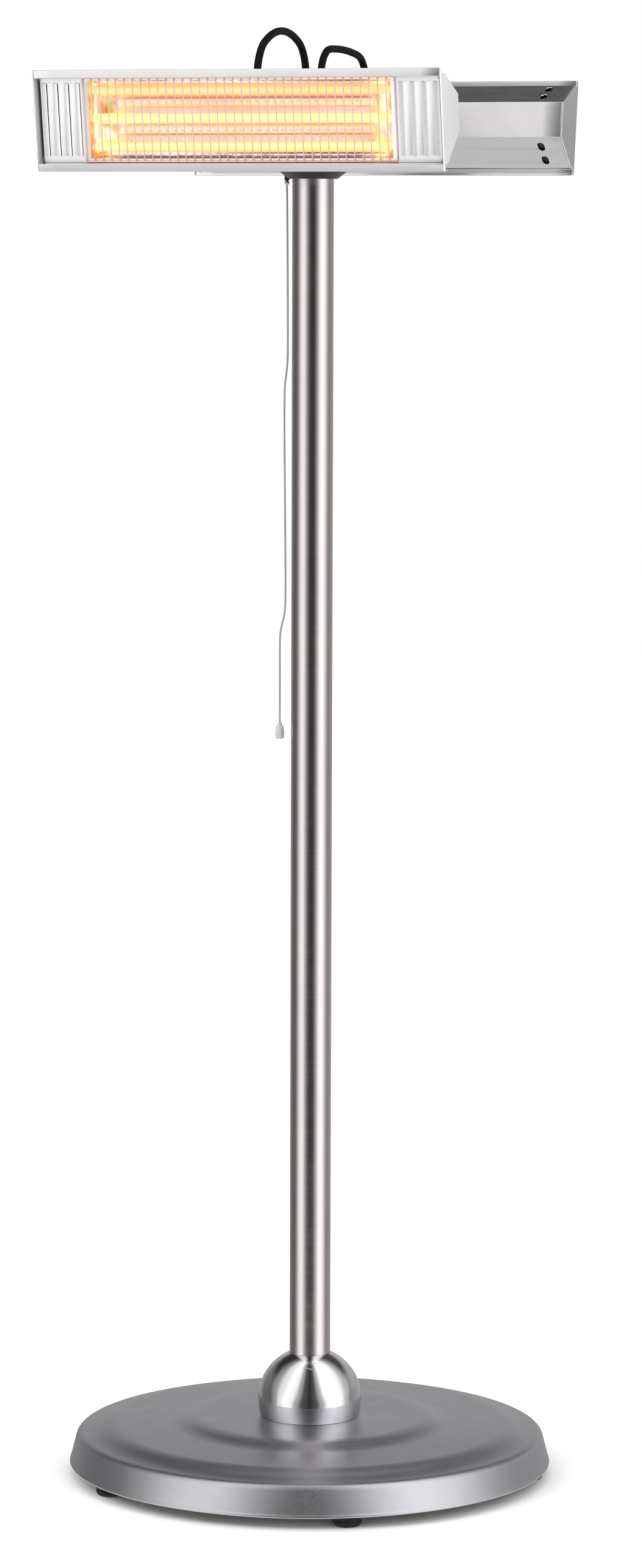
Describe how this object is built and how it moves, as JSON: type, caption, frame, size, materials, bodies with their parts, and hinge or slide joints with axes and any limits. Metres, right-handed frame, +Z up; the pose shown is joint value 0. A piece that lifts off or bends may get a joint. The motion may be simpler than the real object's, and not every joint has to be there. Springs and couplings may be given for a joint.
{
  "type": "patio heater",
  "caption": "Free-standing electric patio heater: quartz heads back to back on a steel pole, each tilting, with a round weighted base, cable loops and a pull cord.",
  "frame": {"origin": "on the floor, on the pole's axis", "axes": "+Z up the pole; the heads lie along X; the front head faces -Y and the rear head +Y"},
  "size_m": [0.6, 0.6, 1.7869],
  "materials": {
    "brushed_stainless": "brushed",
    "head_stainless": "satin",
    "panel_stainless": "satin",
    "polished_steel": "mirror polished",
    "guard_wire": "bright drawn wire",
    "mirror_aluminium": "bright polished",
    "concrete": "cast",
    "foot_rubber": "matt",
    "cable_rubber": "matt",
    "black_plastic": "fine texture",
    "black_steel": "satin powder coat",
    "zinc_steel": "zinc plated",
    "ceramic": "unglazed",
    "quartz": "clear, glowing",
    "heating_wire": "glowing",
    "cord_grey": "braided",
    "toggle_grey": "moulded"
  },
  "bodies": {
    "stand": {"base_cover": "brushed_stainless", "ballast_plate": "concrete", "foot_1": "foot_rubber", "foot_2": "foot_rubber", "foot_3": "foot_rubber", "foot_4": "foot_rubber", "foot_5": "foot_rubber", "pole_flange": "zinc_steel", "ball_cover": "polished_steel", "pole": "brushed_stainless", "lead_grommet": "foot_rubber", "cross_arm": "black_steel", "junction_housing": "black_plastic", "junction_lid": "black_plastic", "front_lid_gland": "black_plastic", "rear_lid_gland": "black_plastic", "pull_switch": "black_plastic", "front_hinge_bolt": "zinc_steel", "rear_hinge_bolt": "zinc_steel", "front_cable": "cable_rubber", "rear_cable": "cable_rubber"},
    "front_head": {"front_housing": "head_stainless", "front_left_cap": "head_stainless", "front_right_cap": "head_stainless", "front_louvre_panel": "panel_stainless", "front_wire_guard": "guard_wire", "front_reflector": "mirror_aluminium", "front_left_holder": "ceramic", "front_right_holder": "ceramic", "front_quartz_tube_1": "quartz", "front_quartz_tube_2": "quartz", "front_quartz_tube_3": "quartz", "front_heating_coil_1": "heating_wire", "front_heating_coil_2": "heating_wire", "front_heating_coil_3": "heating_wire", "front_yoke": "black_steel", "front_terminal_box": "black_plastic", "front_cable_gland": "black_plastic"},
    "rear_head": {"rear_housing": "head_stainless", "rear_left_cap": "head_stainless", "rear_right_cap": "head_stainless", "rear_louvre_panel": "panel_stainless", "rear_wire_guard": "guard_wire", "rear_reflector": "mirror_aluminium", "rear_left_holder": "ceramic", "rear_right_holder": "ceramic", "rear_quartz_tube_1": "quartz", "rear_quartz_tube_2": "quartz", "rear_quartz_tube_3": "quartz", "rear_heating_coil_1": "heating_wire", "rear_heating_coil_2": "heating_wire", "rear_heating_coil_3": "heating_wire", "rear_yoke": "black_steel", "rear_terminal_box": "black_plastic", "rear_cable_gland": "black_plastic"},
    "front_clamp": {"front_knob": "black_plastic"},
    "rear_clamp": {"rear_knob": "black_plastic"},
    "pull": {"pull_rod": "zinc_steel", "pull_cord": "cord_grey", "pull_toggle": "toggle_grey"}
  },
  "joints": [
    {"name": "front_tilt", "type": "hinge", "parent": "stand", "child": "front_head", "pos_m": [0, -0.1655, 1.692], "axis": [1, 0, 0], "range_deg": [-9, 26], "deforming": ["front_cable"]},
    {"name": "rear_tilt", "type": "hinge", "parent": "stand", "child": "rear_head", "pos_m": [0, 0.1655, 1.692], "axis": [-1, 0, 0], "range_deg": [-9, 26], "deforming": ["rear_cable"]},
    {"name": "front_clamp_turn", "type": "hinge", "parent": "stand", "child": "front_clamp", "pos_m": [0, -0.1655, 1.692], "axis": [1, 0, 0], "continuous": true},
    {"name": "rear_clamp_turn", "type": "hinge", "parent": "stand", "child": "rear_clamp", "pos_m": [0, 0.1655, 1.692], "axis": [1, 0, 0], "continuous": true},
    {"name": "pull_travel", "type": "slide", "parent": "stand", "child": "pull", "axis": [0, 0, -1], "range_m": [0, 0.01], "stiffness_N_per_m": 400, "springref_m": -0.003}
  ]
}
